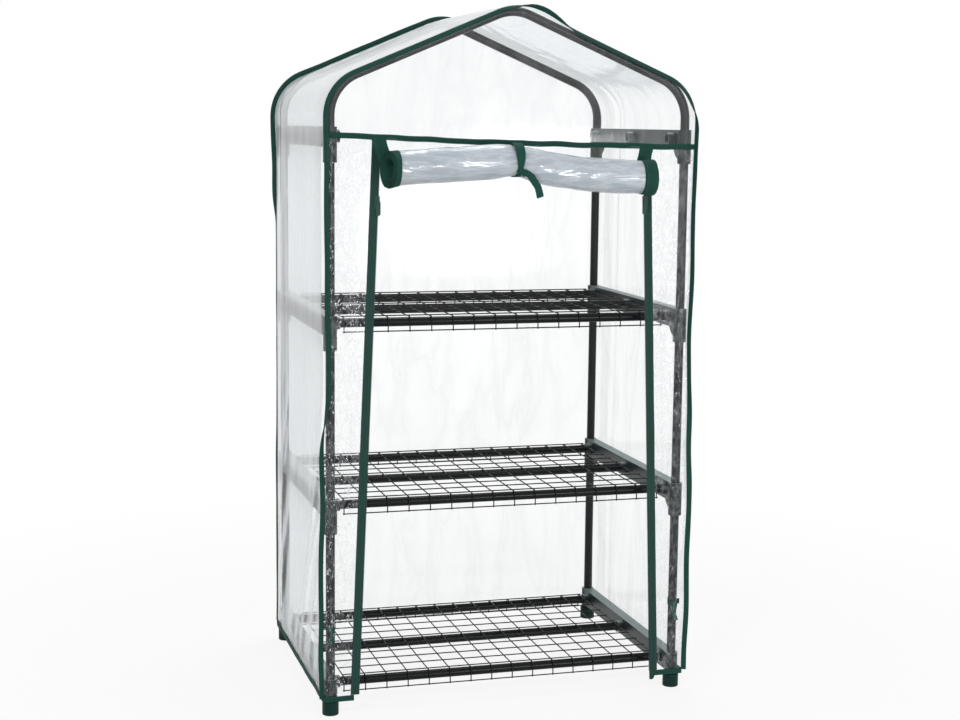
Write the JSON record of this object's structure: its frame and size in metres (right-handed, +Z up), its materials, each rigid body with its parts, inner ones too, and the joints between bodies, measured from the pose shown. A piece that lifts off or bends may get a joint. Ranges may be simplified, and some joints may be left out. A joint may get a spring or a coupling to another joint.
{
  "type": "portable greenhouse",
  "caption": "Tiered pop-up growhouse: push-fit tube frame with pitched roof, lift-out wire shelves, and a clear film cover with green tape, zips and a roll-up door.",
  "frame": {"origin": "on the floor, under the middle of the object's box with the rolled door at the front", "axes": "+X to the right seen from the front, the door faces -Y, +Z up"},
  "size_m": [0.689, 0.5622, 1.2405],
  "materials": {
    "tube_charcoal": "satin",
    "tube_black": "satin",
    "wire_black": "satin",
    "rail_plastic": "matte",
    "foot_plastic": "matte",
    "clear_film": "gloss",
    "tape_green": "matte",
    "ribbon_green": "matte",
    "zip_plastic": "satin"
  },
  "bodies": {
    "frame_and_cover": {"cover_back": "clear_film", "cover_front_gable": "clear_film", "cover_front_strip_left": "clear_film", "cover_front_strip_right": "clear_film", "cover_sides_and_roof": "clear_film", "cover_ties": "ribbon_green", "crossbar_lower_centre": "tube_black", "crossbar_lower_front": "tube_black", "crossbar_lower_rear": "tube_black", "crossbar_middle_centre": "tube_black", "crossbar_middle_front": "tube_black", "crossbar_middle_rear": "tube_black", "crossbar_upper_centre": "tube_black", "crossbar_upper_front": "tube_black", "crossbar_upper_rear": "tube_black", "door_drop": "clear_film", "edge_tape_front": "tape_green", "edge_tape_rear": "tape_green", "foot_front_left": "foot_plastic", "foot_front_right": "foot_plastic", "foot_rear_left": "foot_plastic", "foot_rear_right": "foot_plastic", "header_seam": "tape_green", "hem_tape": "tape_green", "roof_tube_front_left": "tube_charcoal", "roof_tube_front_right": "tube_charcoal", "roof_tube_rear_left": "tube_charcoal", "roof_tube_rear_right": "tube_charcoal", "side_rail_eave_left": "rail_plastic", "side_rail_eave_right": "rail_plastic", "side_rail_lower_left": "rail_plastic", "side_rail_lower_right": "rail_plastic", "side_rail_middle_left": "rail_plastic", "side_rail_middle_right": "rail_plastic", "side_rail_upper_left": "rail_plastic", "side_rail_upper_right": "rail_plastic", "upright_lower_front_left": "tube_charcoal", "upright_lower_front_right": "tube_charcoal", "upright_lower_rear_left": "tube_charcoal", "upright_lower_rear_right": "tube_charcoal", "upright_middle_front_left": "tube_charcoal", "upright_middle_front_right": "tube_charcoal", "upright_middle_rear_left": "tube_charcoal", "upright_middle_rear_right": "tube_charcoal", "upright_upper_front_left": "tube_charcoal", "upright_upper_front_right": "tube_charcoal", "upright_upper_rear_left": "tube_charcoal", "upright_upper_rear_right": "tube_charcoal", "zip_tape_left": "tape_green", "zip_tape_right": "tape_green"},
    "door": {"door_roll": "clear_film", "door_edge_tapes": "tape_green", "door_tie": "ribbon_green"},
    "slider_left": {"zip_slider_left": "zip_plastic"},
    "pull_left": {"zip_pull_left": "zip_plastic"},
    "slider_right": {"zip_slider_right": "zip_plastic"},
    "pull_right": {"zip_pull_right": "zip_plastic"},
    "shelf_lower": {"wire_shelf_lower": "wire_black"},
    "shelf_middle": {"wire_shelf_middle": "wire_black"},
    "shelf_upper": {"wire_shelf_upper": "wire_black"}
  },
  "joints": [
    {"name": "door_unroll", "type": "slide", "parent": "frame_and_cover", "child": "door", "axis": [0, 0, -1], "range_m": [0, 0.89], "deforming": ["door_drop"]},
    {"name": "zip_left_slide", "type": "slide", "parent": "frame_and_cover", "child": "slider_left", "axis": [-0.0375, 0, -0.9993], "range_m": [-0.08, 0.84]},
    {"name": "zip_left_pull", "type": "hinge", "parent": "slider_left", "child": "pull_left", "pos_m": [-0.24122, -0.21083, 0.89644], "axis": [0, -1, 0], "range_deg": [-80, 80]},
    {"name": "zip_right_slide", "type": "slide", "parent": "frame_and_cover", "child": "slider_right", "axis": [0.0375, 0, -0.9993], "range_m": [-0.08, 0.84]},
    {"name": "zip_right_pull", "type": "hinge", "parent": "slider_right", "child": "pull_right", "pos_m": [0.24122, -0.21083, 0.89644], "axis": [0, -1, 0], "range_deg": [-80, 80]},
    {"name": "shelf_lower_lift", "type": "slide", "parent": "frame_and_cover", "child": "shelf_lower", "axis": [0, 0, 1], "range_m": [0, 0.1]},
    {"name": "shelf_middle_lift", "type": "slide", "parent": "frame_and_cover", "child": "shelf_middle", "axis": [0, 0, 1], "range_m": [0, 0.1]},
    {"name": "shelf_upper_lift", "type": "slide", "parent": "frame_and_cover", "child": "shelf_upper", "axis": [0, 0, 1], "range_m": [0, 0.1]}
  ]
}
